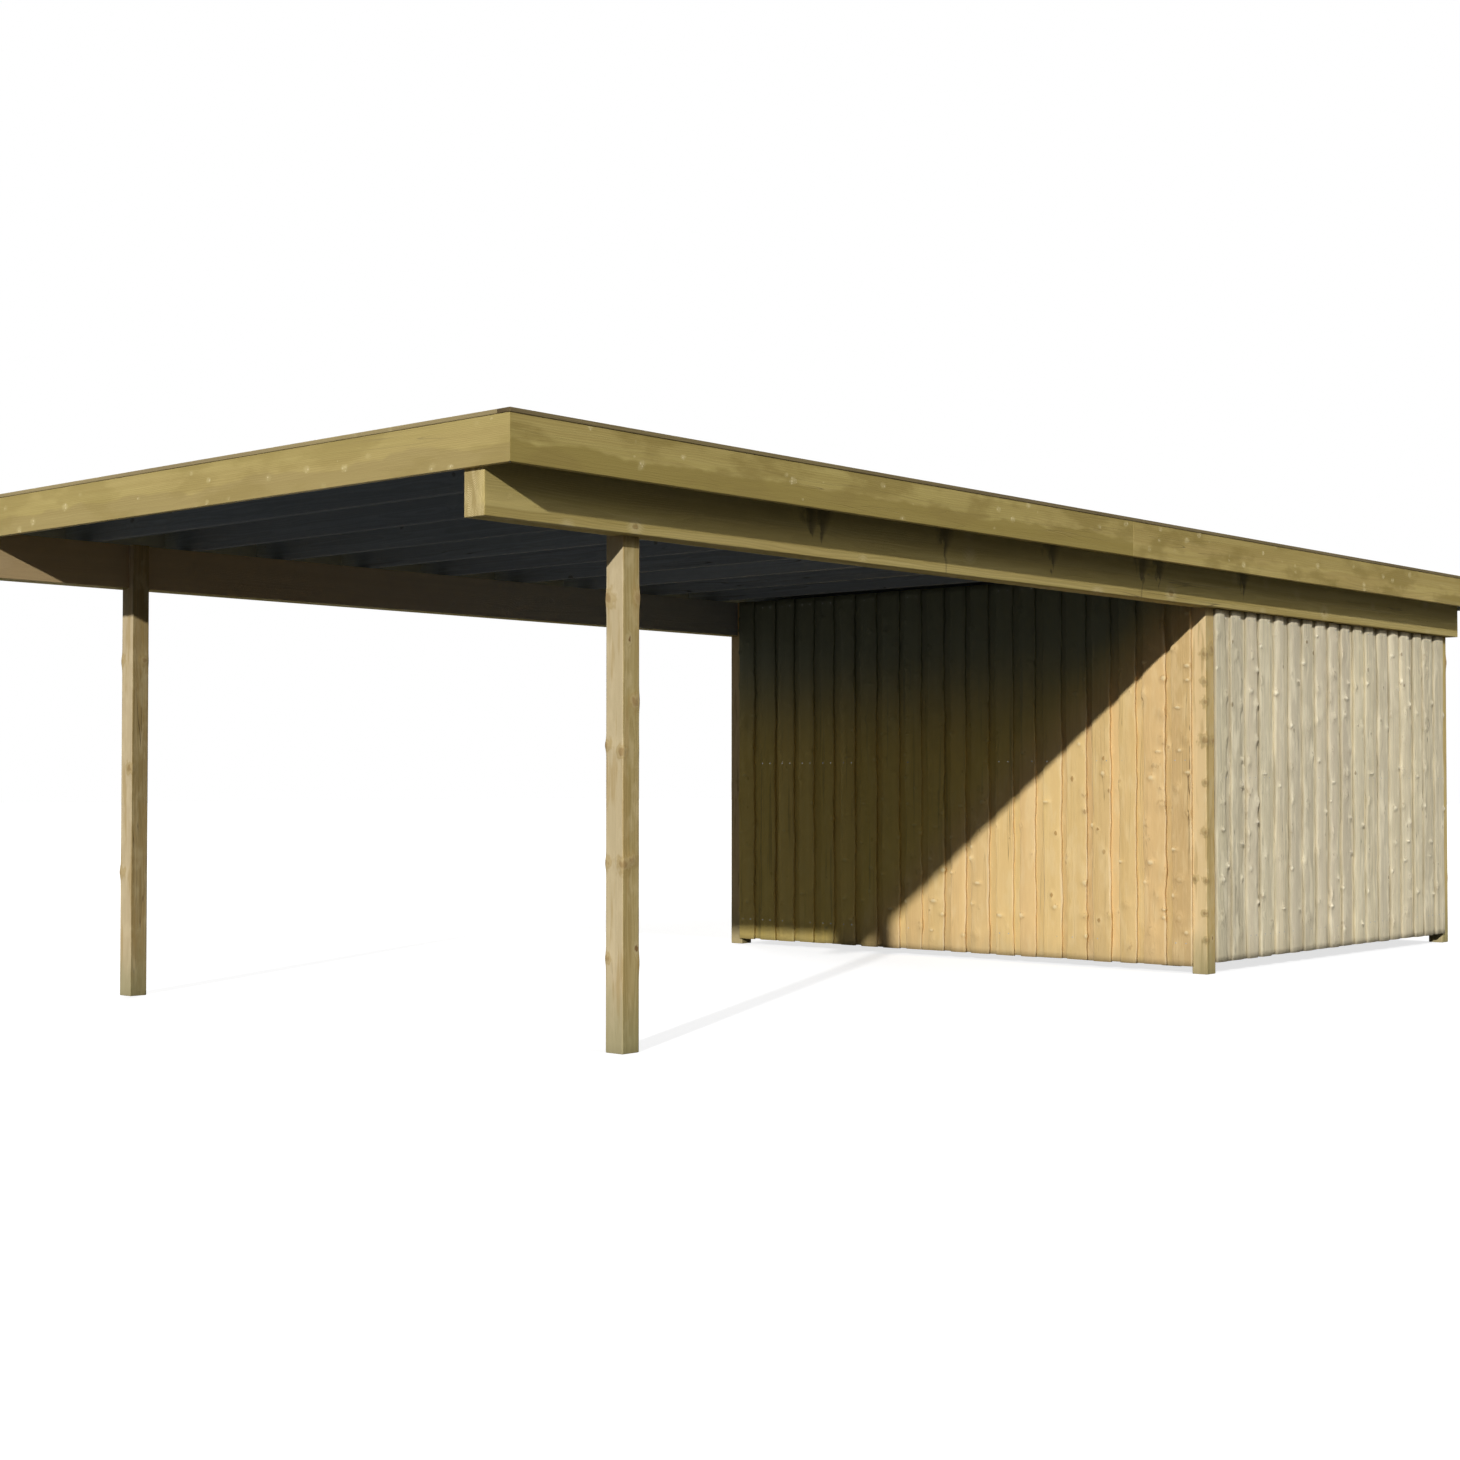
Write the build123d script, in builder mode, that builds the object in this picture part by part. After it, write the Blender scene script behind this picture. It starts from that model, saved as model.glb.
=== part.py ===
import os

from build123d import *

os.makedirs("parts", exist_ok=True)

# Timber carport with a board-clad store under the back of one flat roof, in millimetres.
# Origin on the ground under the middle of the roof, +X right seen from the open front,
# +Y towards the back, +Z up.

# Roof plan and headroom
roof_length = 9048.0
roof_width = 4098.0
clear_height = 2100.0

# Beams along both long sides, carried on the posts' shoulders
beam_width = 115.0
beam_depth = 225.0
beam_setback = 172.0

# Rafters across the beams
rafter_width = 45.0
rafter_depth = 120.0
rafter_spacing = 600.0

# Roof skin
deck_thickness = 19.0
felt_thickness = 4.0

# Fascia boards round the rafter ends, with a flat cap on their top edge
fascia_thickness = 28.0
fascia_drop = 41.0
fascia_joint_share = 0.489
cap_thickness = 18.0
cap_width = 72.0
cap_overhang = 4.0

# Posts, notched so that an inner tongue runs up behind the beam
post_size = 97.0
post_setback = 60.0
front_post_setback = 834.0
store_setback = 5600.0
rear_post_setback = 90.0

# Board-on-board cladding of the store
board_thickness = 20.0
board_width = 122.0
board_gap = 55.0
side_ground_gap = 65.0
front_ground_gap = 40.0

# Rails behind the cladding, between the posts
rail_thickness = 45.0
rail_height = 95.0
foot_rail_lift = 85.0
middle_rail_share = 0.5

# Levels
beam_top = clear_height + beam_depth
rafter_top = beam_top + rafter_depth
deck_top = rafter_top + deck_thickness
felt_top = deck_top + felt_thickness
fascia_bottom = beam_top - fascia_drop
fascia_height = felt_top - fascia_bottom

# Plan positions
cap_x = roof_width / 2
cap_y = roof_length / 2
fascia_x = cap_x - cap_overhang
fascia_y = cap_y - cap_overhang
frame_x = fascia_x - fascia_thickness
frame_y = fascia_y - fascia_thickness
joint_y = -fascia_y + 2 * fascia_y * fascia_joint_share
beam_x = fascia_x - beam_setback
post_x = beam_x - post_setback
post_inner_x = post_x - post_size
beam_inner_x = beam_x - beam_width
tongue_thickness = beam_inner_x - post_inner_x
store_front_y = -fascia_y + store_setback
store_rear_y = fascia_y - rear_post_setback
wall_start_y = store_front_y + post_size
wall_end_y = store_rear_y - post_size
rafter_bays = round((2 * frame_y - rafter_width) / rafter_spacing)
rafter_pitch = (2 * frame_y - rafter_width) / rafter_bays


def board_centres(start, end):
    """Centres of the outer boards from post to post, and of the inner boards behind their gaps."""
    gap_count = round((end - start - board_width) / (board_width + board_gap))
    pitch = (end - start - board_width) / gap_count
    first = start + board_width / 2
    outer = [first + pitch * i for i in range(gap_count + 1)]
    return outer, [centre + pitch / 2 for centre in outer[:-1]]


def rail_levels(bottom, top):
    """Undersides of the foot, middle and head rails of a wall."""
    head = top - rail_height
    foot = bottom + foot_rail_lift
    return [foot, foot + (head - foot) * middle_rail_share, head]


# Posts: a full section up to the shoulder, then the tongue behind the beam
post_rows = {
    "front": -fascia_y + front_post_setback + post_size / 2,
    "store": store_front_y + post_size / 2,
    "rear": store_rear_y - post_size / 2,
}
for row, row_y in post_rows.items():
    for side, sign in (("left", -1), ("right", 1)):
        with BuildPart() as post:
            with BuildSketch():
                with Locations((sign * (post_x - post_size / 2), row_y)):
                    Rectangle(post_size, post_size)
            extrude(amount=clear_height)
            with BuildSketch(Plane.XY.offset(clear_height)):
                with Locations((sign * (post_inner_x + tongue_thickness / 2), row_y)):
                    Rectangle(tongue_thickness, post_size)
            extrude(amount=beam_depth)
        post.part.label = f"post_{row}_{side}"
        export_step(post.part, f"parts/post_{row}_{side}.step")

# Beams: one length each, ending behind the front and rear fascias
for side, sign in (("left", -1), ("right", 1)):
    with BuildPart() as beam:
        with BuildSketch(Plane.XY.offset(clear_height)):
            with Locations((sign * (beam_x - beam_width / 2), 0)):
                Rectangle(beam_width, 2 * frame_y)
        extrude(amount=beam_depth)
    beam.part.label = f"beam_{side}"
    export_step(beam.part, f"parts/beam_{side}.step")

# Rafters: from one side fascia to the other, the first and last behind the end fascias
with BuildPart() as rafters:
    with BuildSketch(Plane.XY.offset(beam_top)):
        with GridLocations(0, rafter_pitch, 1, rafter_bays + 1):
            Rectangle(2 * frame_x, rafter_width)
    extrude(amount=rafter_depth)
rafters.part.label = "rafters"
export_step(rafters.part, "parts/rafters.step")

# Roof deck and the felt on it
with BuildPart() as roof_deck:
    with BuildSketch(Plane.XY.offset(rafter_top)):
        Rectangle(2 * frame_x, 2 * frame_y)
    extrude(amount=deck_thickness)
roof_deck.part.label = "roof_deck"
export_step(roof_deck.part, "parts/roof_deck.step")

with BuildPart() as roof_felt:
    with BuildSketch(Plane.XY.offset(deck_top)):
        Rectangle(2 * frame_x, 2 * frame_y)
    extrude(amount=felt_thickness)
roof_felt.part.label = "roof_felt"
export_step(roof_felt.part, "parts/roof_felt.step")

# End fascias, mitred at both corners, with a cap that fits between the side caps
for end, sign in (("front", -1), ("rear", 1)):
    with BuildPart() as end_fascia:
        with BuildSketch(Plane.XY.offset(fascia_bottom)):
            with BuildLine():
                Polyline(
                    (-fascia_x, sign * fascia_y),
                    (fascia_x, sign * fascia_y),
                    (frame_x, sign * frame_y),
                    (-frame_x, sign * frame_y),
                    close=True,
                )
            make_face()
        extrude(amount=fascia_height)
    end_fascia.part.label = f"fascia_{end}"
    export_step(end_fascia.part, f"parts/fascia_{end}.step")

    with BuildPart() as end_cap:
        with BuildSketch(Plane.XY.offset(felt_top)):
            with Locations((0, sign * (cap_y - cap_width / 2))):
                Rectangle(2 * (cap_x - cap_width), cap_width)
        extrude(amount=cap_thickness)
    end_cap.part.label = f"cap_{end}"
    export_step(end_cap.part, f"parts/cap_{end}.step")

# Side fascias: two boards each, butted near mid-length, and a cap along the whole side
for side, sign in (("left", -1), ("right", 1)):
    for end, corner in (("front", -1), ("rear", 1)):
        with BuildPart() as side_fascia:
            with BuildSketch(Plane.XY.offset(fascia_bottom)):
                with BuildLine():
                    Polyline(
                        (sign * fascia_x, corner * fascia_y),
                        (sign * frame_x, corner * frame_y),
                        (sign * frame_x, joint_y),
                        (sign * fascia_x, joint_y),
                        close=True,
                    )
                make_face()
            extrude(amount=fascia_height)
        side_fascia.part.label = f"fascia_{side}_{end}"
        export_step(side_fascia.part, f"parts/fascia_{side}_{end}.step")

    with BuildPart() as side_cap:
        with BuildSketch(Plane.XY.offset(felt_top)):
            with Locations((sign * (cap_x - cap_width / 2), 0)):
                Rectangle(cap_width, 2 * cap_y)
        extrude(amount=cap_thickness)
    side_cap.part.label = f"cap_{side}"
    export_step(side_cap.part, f"parts/cap_{side}.step")

# Side walls of the store: cladding up to the beam, rails between the corner posts
outer_boards, inner_boards = board_centres(wall_start_y, wall_end_y)
side_rails = rail_levels(side_ground_gap, clear_height)
for side, sign in (("left", -1), ("right", 1)):
    with BuildPart() as side_cladding:
        with BuildSketch(Plane.XY.offset(side_ground_gap)):
            with Locations(*[(sign * (post_x - board_thickness / 2), y) for y in inner_boards]):
                Rectangle(board_thickness, board_width)
            with Locations(*[(sign * (post_x + board_thickness / 2), y) for y in outer_boards]):
                Rectangle(board_thickness, board_width)
        extrude(amount=clear_height - side_ground_gap)
    side_cladding.part.label = f"cladding_{side}"
    export_step(side_cladding.part, f"parts/cladding_{side}.step")

    with BuildPart() as side_rail:
        for level in side_rails:
            with BuildSketch(Plane.XY.offset(level)):
                with Locations(
                    (
                        sign * (post_x - board_thickness - rail_thickness / 2),
                        (wall_start_y + wall_end_y) / 2,
                    )
                ):
                    Rectangle(rail_thickness, wall_end_y - wall_start_y)
            extrude(amount=rail_height)
    side_rail.part.label = f"rails_{side}"
    export_step(side_rail.part, f"parts/rails_{side}.step")

# Front and rear walls of the store: cladding up to the rafters, rails between the posts
outer_boards, inner_boards = board_centres(-post_inner_x, post_inner_x)
end_walls = (
    ("store_front", store_front_y, -1, front_ground_gap),
    ("store_rear", store_rear_y, 1, side_ground_gap),
)
for wall, face_y, outward, ground_gap in end_walls:
    with BuildPart() as end_cladding:
        with BuildSketch(Plane.XY.offset(ground_gap)):
            with Locations(*[(x, face_y - outward * board_thickness / 2) for x in inner_boards]):
                Rectangle(board_width, board_thickness)
            with Locations(*[(x, face_y + outward * board_thickness / 2) for x in outer_boards]):
                Rectangle(board_width, board_thickness)
        extrude(amount=beam_top - ground_gap)
    end_cladding.part.label = f"cladding_{wall}"
    export_step(end_cladding.part, f"parts/cladding_{wall}.step")

    with BuildPart() as end_rail:
        for level in rail_levels(ground_gap, beam_top):
            with BuildSketch(Plane.XY.offset(level)):
                with Locations((0, face_y - outward * (board_thickness + rail_thickness / 2))):
                    Rectangle(2 * post_inner_x, rail_thickness)
            extrude(amount=rail_height)
    end_rail.part.label = f"rails_{wall}"
    export_step(end_rail.part, f"parts/rails_{wall}.step")
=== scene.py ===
import math
import random

import bmesh
import bpy
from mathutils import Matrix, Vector, noise


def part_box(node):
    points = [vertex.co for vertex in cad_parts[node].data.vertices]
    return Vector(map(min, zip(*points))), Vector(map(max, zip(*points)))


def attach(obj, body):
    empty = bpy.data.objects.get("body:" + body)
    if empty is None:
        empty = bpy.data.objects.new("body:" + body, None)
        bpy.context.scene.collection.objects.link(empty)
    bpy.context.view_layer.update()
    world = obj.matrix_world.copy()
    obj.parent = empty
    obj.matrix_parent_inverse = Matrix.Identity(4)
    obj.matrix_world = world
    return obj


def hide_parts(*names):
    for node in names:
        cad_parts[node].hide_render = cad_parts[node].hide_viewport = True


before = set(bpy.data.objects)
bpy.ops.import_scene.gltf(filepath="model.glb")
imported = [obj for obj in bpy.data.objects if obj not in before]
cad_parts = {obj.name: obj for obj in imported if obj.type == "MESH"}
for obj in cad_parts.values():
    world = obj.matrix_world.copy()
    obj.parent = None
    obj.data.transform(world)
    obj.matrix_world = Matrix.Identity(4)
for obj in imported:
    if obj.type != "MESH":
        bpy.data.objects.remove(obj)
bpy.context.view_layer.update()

# Posts: six square posts of pressure-treated sawn softwood, standing on the ground.
# Each is notched at the head, so that a tongue runs up behind the beam that its shoulder carries.
UP = 2
post_seed = 11
post_arris = 0.004
post_shades = {
    "pale": (0.54, 0.425, 0.20, 1.0),
    "deep": (0.38, 0.28, 0.095, 1.0),
    "cast": (0.48, 0.34, 0.14, 1.0),
    "ring": (0.34, 0.24, 0.08, 1.0),
    "halo": (0.60, 0.48, 0.255, 1.0),
    "knot": (0.22, 0.125, 0.05, 1.0),
    "check": (0.12, 0.085, 0.045, 1.0),
    "end_pale": (0.42, 0.33, 0.17, 1.0),
    "end_deep": (0.24, 0.17, 0.08, 1.0),
}
post_figure = {
    "Knot Spacing": 0.42,
    "Knot Lane": 0.075,
    "Knot Depth": 0.075,
    "Knot Radius": 0.012,
    "Ring Width": 0.0055,
    "Pith Depth": 0.015,
}
post_roughness = (0.66, 0.86)
post_relief = 0.0012
post_log_step = (19.0, 7.0, 11.0)
post_ring_step = 0.045
post_columns = (0.06, 0.17, 0.3, 0.43, 0.57, 0.7, 0.83, 0.94)
whorl_step = (0.22, 0.55)
whorl_spread = 0.02
whorl_reach = (0.020, 0.038)
whorl_rise = (0.0035, 0.0075)
whorl_rings = (-1.8, -1.2, -0.75, -0.35, 0.0, 0.35, 0.75, 1.2, 1.8)
whorl_turns = (0.0, 360.0)
second_knot_turns = (100.0, 170.0)
seen_whorls = {
    "post_front_left": ((0.62, (-128.0,)), (1.18, (-58.0,)), (1.74, (25.0, -140.0))),
    "post_front_right": (
        (0.37, (-130.0, 75.0)),
        (0.785, (-132.0, -40.0, 8.0)),
        (1.24, (-129.0, -52.0, 100.0)),
        (1.435, (26.0, 150.0)),
        (1.86, (-126.0, 38.0)),
    ),
    "post_store_right": (
        (0.204, (-49.0,)),
        (0.367, (-52.0,)),
        (0.55, (-47.0, -118.0)),
        (0.805, (-51.0,)),
        (1.10, (-48.0,)),
        (1.356, (-52.0, 30.0)),
        (1.55, (-46.0,)),
        (1.69, (-53.0,)),
        (1.845, (-48.0, 15.0)),
    ),
}
mottle = {"share": 0.45, "stretch": (7.0, 16.0, 16.0), "levels": (0.46, 0.64), "detail": 4.0}
resin = {"share": 0.5, "stretch": (2.6, 26.0, 26.0), "levels": (0.53, 0.65)}
resin_colour = (0.40, 0.27, 0.10, 1.0)
sunny_slopes = (-0.3, -0.9)
sun_bleach_share = 0.5
open_tones, open_bleach = (0.9, 1.0), (0.72, 0.60, 0.405, 1.0)
sheltered_tones, sheltered_bleach = (1.17, 1.26), (0.94, 0.70, 0.40, 1.0)
whorl_ragged = (38.0, 38.0, 22.0)
whorl_ragged_size = 1.5
stain_colour, stain_share = (0.39, 0.27, 0.10, 1.0), 0.55
stain_levels, stain_rim = (0.1, 0.4), (0.01, 0.15)
pale_levels, pale_share = (0.35, 0.7), 0.4
brown_colour, brown_share = (0.30, 0.185, 0.07, 1.0), 0.7
brown_levels, brown_rim = (0.5, 1.0), (0.1, 0.4)
foot_reach = 0.34
foot_green, foot_share = (0.27, 0.26, 0.13, 1.0), 0.55


def connect(tree, value, socket):
    """Set a socket to a plain value, or link another node's output to it."""
    if isinstance(value, bpy.types.NodeSocket):
        tree.links.new(value, socket)
    else:
        socket.default_value = value


def place(tree, kind, inputs=None, **settings):
    """A shader node with its settings, and its inputs given as values or as other outputs."""
    node = tree.nodes.new(kind)
    for name, value in settings.items():
        setattr(node, name, value)
    for name, value in (inputs or {}).items():
        connect(tree, value, node.inputs[name])
    return node


def sum_of(tree, operation, *values):
    """One step of arithmetic on numbers."""
    inputs = dict(enumerate(values))
    return place(tree, "ShaderNodeMath", inputs, operation=operation).outputs[0]


def vector_of(tree, operation, *values):
    """One step of arithmetic on vectors."""
    node = place(tree, "ShaderNodeVectorMath", dict(enumerate(values)), operation=operation)
    return node.outputs["Value" if operation in ("LENGTH", "DOT_PRODUCT") else "Vector"]


def combined(tree, **axes):
    """A vector put together from numbers."""
    return place(tree, "ShaderNodeCombineXYZ", axes).outputs[0]


def axes_of(tree, vector):
    """The numbers X, Y and Z of a vector."""
    return place(tree, "ShaderNodeSeparateXYZ", {"Vector": vector}).outputs


def stored(tree, name, output="Vector"):
    """What the mesh has stored under a name."""
    return place(tree, "ShaderNodeAttribute", attribute_name=name).outputs[output]


def ranged(tree, value, low, high, to_low=0.0, to_high=1.0):
    """A smooth step of a number from one range to another."""
    inputs = {"Value": value, "From Min": low, "From Max": high, "To Min": to_low, "To Max": to_high}
    return place(tree, "ShaderNodeMapRange", inputs, interpolation_type="SMOOTHSTEP").outputs[0]


def mixed(tree, share, first, second):
    """Two colours, mixed by a share."""
    share_socket, first_socket, second_socket, result_socket = 0, 6, 7, 2
    inputs = {share_socket: share, first_socket: first, second_socket: second}
    return place(tree, "ShaderNodeMix", inputs, data_type="RGBA").outputs[result_socket]


def tinted(tree, colour, mask, share, tint):
    """A colour, covered by a share of a tint where a mask is one."""
    return mixed(tree, sum_of(tree, "MULTIPLY", mask, share), colour, tint)


def noise_of(tree, vector, stretch, detail=2.0, output="Fac"):
    """Soft noise on a vector that is stretched first, by counts per metre on each axis."""
    spread = vector_of(tree, "MULTIPLY", vector, stretch)
    inputs = {"Vector": spread, "Scale": 1.0, "Detail": detail, "Roughness": 0.55}
    return place(tree, "ShaderNodeTexNoise", inputs).outputs[output]


def swing_of(tree, vector, stretch, detail=3.0):
    """Noise that swings to both sides of zero."""
    middle = 0.5
    return sum_of(tree, "SUBTRACT", noise_of(tree, vector, stretch, detail), middle)


def sway_of(tree, vector, stretch, detail=2.0):
    """Noise that swings to both sides of zero by itself on each axis."""
    middle = (0.5, 0.5, 0.5)
    return vector_of(tree, "SUBTRACT", noise_of(tree, vector, stretch, detail, "Color"), middle)


def patches_of(tree, vector, stretch, levels, detail=3.0):
    """Patches with soft edges, where noise rises through its levels."""
    return ranged(tree, noise_of(tree, vector, stretch, detail), *levels)


def blotched(tree, colour, vector, tint, share, **patches):
    """A colour with patches of a tint."""
    return tinted(tree, colour, patches_of(tree, vector, **patches), share, tint)


def new_group(name, inputs, outputs):
    """An empty shader node group with its named sockets."""
    tree = bpy.data.node_groups.new(name, "ShaderNodeTree")
    for label, kind in inputs.items():
        tree.interface.new_socket(label, in_out="INPUT", socket_type=f"NodeSocket{kind}")
    for label, kind in outputs.items():
        tree.interface.new_socket(label, in_out="OUTPUT", socket_type=f"NodeSocket{kind}")
    given = place(tree, "NodeGroupInput").outputs
    put = place(tree, "NodeGroupOutput").inputs
    return tree, given, put


def new_material(name):
    """A material with an empty node tree."""
    material = bpy.data.materials.new(name)
    material.use_nodes = True
    material.node_tree.nodes.clear()
    return material, material.node_tree


def close_surface(tree, inputs):
    """The one shader of a material, and its output."""
    surface = place(tree, "ShaderNodeBsdfPrincipled", inputs)
    place(tree, "ShaderNodeOutputMaterial", {"Surface": surface.outputs["BSDF"]})


def make_timber_figure():
    """Rings, streaks, fibres, knots and drying checks of a sawn softwood stick, on its own axes."""
    sizes = ("Knot Spacing", "Knot Lane", "Knot Depth", "Knot Radius", "Ring Width", "Pith Depth")
    masks = ("Rings", "Streaks", "Fibre", "Drift", "Knots", "Halo", "Checks")
    tree, given, put = new_group(
        "timber_figure",
        {"Grain": "Vector", "Stick": "Vector", **dict.fromkeys(sizes, "Float")},
        dict.fromkeys(masks, "Float"),
    )
    log_step = (61.0, 17.0, 23.0)
    own_log = vector_of(tree, "MULTIPLY_ADD", given["Stick"], log_step, given["Grain"])

    knot_squeeze = 0.72
    knot_lots = (0.2, 1.0)
    core_share = 0.55
    halo_reach = 2.6
    knot_ragged_stretch = (45.0, 60.0, 60.0)
    knot_ragged_size = (0.020, 0.018, 0.018)
    cell = combined(tree, X=given["Knot Spacing"], Y=given["Knot Lane"], Z=given["Knot Depth"])
    ragged = sway_of(tree, own_log, knot_ragged_stretch, detail=3.0)
    bent_log = vector_of(tree, "MULTIPLY_ADD", ragged, knot_ragged_size, own_log)
    cell_place = vector_of(tree, "DIVIDE", bent_log, cell)
    knots = place(tree, "ShaderNodeTexVoronoi", {"Vector": cell_place, "Scale": 1.0}).outputs
    squeezed = sum_of(tree, "MULTIPLY", given["Knot Spacing"], knot_squeeze)
    reach = combined(tree, X=squeezed, Y=given["Knot Lane"], Z=given["Knot Lane"])
    offset = vector_of(tree, "SUBTRACT", cell_place, knots["Position"])
    distance = vector_of(tree, "LENGTH", vector_of(tree, "MULTIPLY", offset, reach))
    lottery = place(tree, "ShaderNodeSeparateColor", {"Color": knots["Color"]}).outputs
    size = ranged(tree, lottery[0], *knot_lots)
    radius = sum_of(tree, "MULTIPLY", size, given["Knot Radius"])
    core = sum_of(tree, "MULTIPLY", radius, core_share)
    outer = sum_of(tree, "MULTIPLY", radius, halo_reach)
    halo_mask = ranged(tree, distance, outer, core)
    connect(tree, ranged(tree, distance, radius, core), put["Knots"])
    connect(tree, halo_mask, put["Halo"])

    wander_stretch = (1.2, 9.0, 9.0)
    wander_size = (0.0, 0.03, 0.03)
    pith_spread = (0.0, 0.07, 0.0)
    across_grain = (0.0, 1.0, 1.0)
    rings_bent_by_knot = 1.6
    late_wood, year_end = (0.25, 0.85), (1.0, 0.9)
    wander = sway_of(tree, own_log, wander_stretch)
    moved = vector_of(tree, "MULTIPLY_ADD", wander, wander_size, given["Grain"])
    pith_across = vector_of(tree, "MULTIPLY", given["Stick"], pith_spread)
    pith_down = combined(tree, Z=given["Pith Depth"])
    from_pith = vector_of(tree, "ADD", vector_of(tree, "ADD", moved, pith_across), pith_down)
    ring_radius = vector_of(tree, "LENGTH", vector_of(tree, "MULTIPLY", from_pith, across_grain))
    ring_count = sum_of(tree, "DIVIDE", ring_radius, given["Ring Width"])
    bent = sum_of(tree, "MULTIPLY_ADD", halo_mask, rings_bent_by_knot, ring_count)
    year = sum_of(tree, "FRACT", bent)
    late, early = ranged(tree, year, *late_wood), ranged(tree, year, *year_end)
    connect(tree, sum_of(tree, "MULTIPLY", late, early), put["Rings"])

    for mask, stretch, levels, detail in (
        ("Streaks", (0.8, 32.0, 32.0), (0.32, 0.68), 3.0),
        ("Fibre", (14.0, 420.0, 420.0), (0.3, 0.7), 2.0),
        ("Drift", (0.5, 6.0, 6.0), (0.4, 0.62), 2.0),
    ):
        connect(tree, patches_of(tree, own_log, stretch, levels, detail), put[mask])

    check_stretch, check_width = (0.8, 24.0, 24.0), 0.01
    dry_stretch, dry_levels = (0.5, 7.0, 7.0), (0.55, 0.66)
    from_line = sum_of(tree, "ABSOLUTE", swing_of(tree, own_log, check_stretch, detail=1.0))
    line = ranged(tree, from_line, check_width, 0.0)
    dry = patches_of(tree, own_log, dry_stretch, dry_levels, detail=2.0)
    connect(tree, sum_of(tree, "MULTIPLY", line, dry), put["Checks"])
    return tree


timber_figure = make_timber_figure()


def make_ground_stain():
    """Damp, soil and algae that rise from the ground, ragged at their upper edge."""
    tree, given, put = new_group("ground_stain", {"Place": "Vector", "Reach": "Float"}, {"Stain": "Float"})
    ragged_stretch, ragged_size = (14.0, 14.0, 3.5), 2.0
    ragged = noise_of(tree, given["Place"], ragged_stretch, detail=4.0)
    edge = sum_of(tree, "MULTIPLY", given["Reach"], sum_of(tree, "MULTIPLY", ragged, ragged_size))
    connect(tree, ranged(tree, axes_of(tree, given["Place"])["Z"], edge, 0.0), put["Stain"])
    return tree


ground_stain = make_ground_stain()


def stain_from_ground(tree, spot, reach):
    """How far the ground has stained each spot."""
    inputs = {"Place": spot, "Reach": reach}
    return place(tree, "ShaderNodeGroup", inputs, node_tree=ground_stain).outputs["Stain"]


def own_log_of(tree, log_step):
    """Places in the log that a stick was sawn from, so that no two sticks look the same."""
    return vector_of(tree, "MULTIPLY_ADD", stored(tree, "stick"), log_step, stored(tree, "grain"))


def timber_colour(name, shades, figure, tones=(0.88, 1.1), hues=(0.493, 0.506)):
    """A timber material up to its colour: its node tree, its base colour, and the figure's outputs."""
    streak_share = 0.75
    covers = (
        ("Drift", 0.5, "cast"),
        ("Rings", 0.4, "ring"),
        ("Fibre", 0.16, "ring"),
        ("Halo", 0.6, "halo"),
        ("Knots", 1.0, "knot"),
        ("Checks", 0.8, "check"),
    )
    end_streaks = {"share": 0.7, "stretch": (0.0, 9.0, 38.0), "levels": (0.38, 0.62)}
    material, tree = new_material(name)
    grain, stick = stored(tree, "grain"), stored(tree, "stick")
    inputs = {"Grain": grain, "Stick": stick, **figure}
    seen = place(tree, "ShaderNodeGroup", inputs, node_tree=timber_figure).outputs
    colour = tinted(tree, shades["pale"], seen["Streaks"], streak_share, shades["deep"])
    for mask, share, shade in covers:
        colour = tinted(tree, colour, seen[mask], share, shades[shade])
    end_colour = mixed(tree, seen["Rings"], shades["end_pale"], shades["end_deep"])
    end_colour = blotched(tree, end_colour, grain, shades["end_deep"], **end_streaks)
    colour = mixed(tree, stored(tree, "end_grain", "Fac"), colour, end_colour)
    lot = axes_of(tree, stick)
    value = ranged(tree, lot["Y"], 0.0, 1.0, *tones)
    hue = ranged(tree, lot["Z"], 0.0, 1.0, *hues)
    toned = place(tree, "ShaderNodeHueSaturation", {"Hue": hue, "Value": value, "Color": colour})
    return material, tree, toned.outputs["Color"], seen


def close_timber(tree, colour, seen, roughness, relief, mound=0.0, gloss=0.08):
    """The matt surface of a timber material: its roughness, its fine relief and its shader."""
    heights = {"Rings": 0.35, "Fibre": 0.45, "Knots": 1.0, "Halo": mound, "Checks": -1.4}
    bump_strength = 0.6
    raised = 0.0
    for mask, height in heights.items():
        raised = sum_of(tree, "MULTIPLY_ADD", seen[mask], height, raised)
    bump = place(tree, "ShaderNodeBump", {"Height": raised, "Strength": bump_strength, "Distance": relief})
    close_surface(
        tree,
        {
            "Base Color": colour,
            "Roughness": ranged(tree, seen["Streaks"], 0.0, 1.0, *roughness),
            "Specular IOR Level": gloss,
            "Normal": bump.outputs["Normal"],
        },
    )


def mark_sticks(form, along, draw):
    """Store on each separate stick the grain's own axes, three numbers of its own, and its sawn ends."""
    end_slope = 0.9
    grain = form.verts.layers.float_vector.new("grain")
    stick = form.verts.layers.float_vector.new("stick")
    ends = form.faces.layers.float.new("end_grain")
    form.normal_update()
    for face in form.faces:
        face[ends] = float(abs(face.normal[along]) > end_slope)
    for vert in form.verts:
        vert.tag = False
    for first in form.verts:
        if first.tag:
            continue
        first.tag = True
        island, front = [], [first]
        while front:
            vert = front.pop()
            island.append(vert)
            for edge in vert.link_edges:
                other = edge.other_vert(vert)
                if not other.tag:
                    other.tag = True
                    front.append(other)
        low = Vector([min(vert.co[axis] for vert in island) for axis in range(3)])
        high = Vector([max(vert.co[axis] for vert in island) for axis in range(3)])
        middle, size = (low + high) / 2, high - low
        depth, across = sorted((axis for axis in range(3) if axis != along), key=lambda axis: size[axis])
        own = Vector((draw.random(), draw.random(), draw.random()))
        for vert in island:
            local = vert.co - middle
            vert[grain] = Vector((local[along], local[across], local[depth]))
            vert[stick] = own


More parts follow.
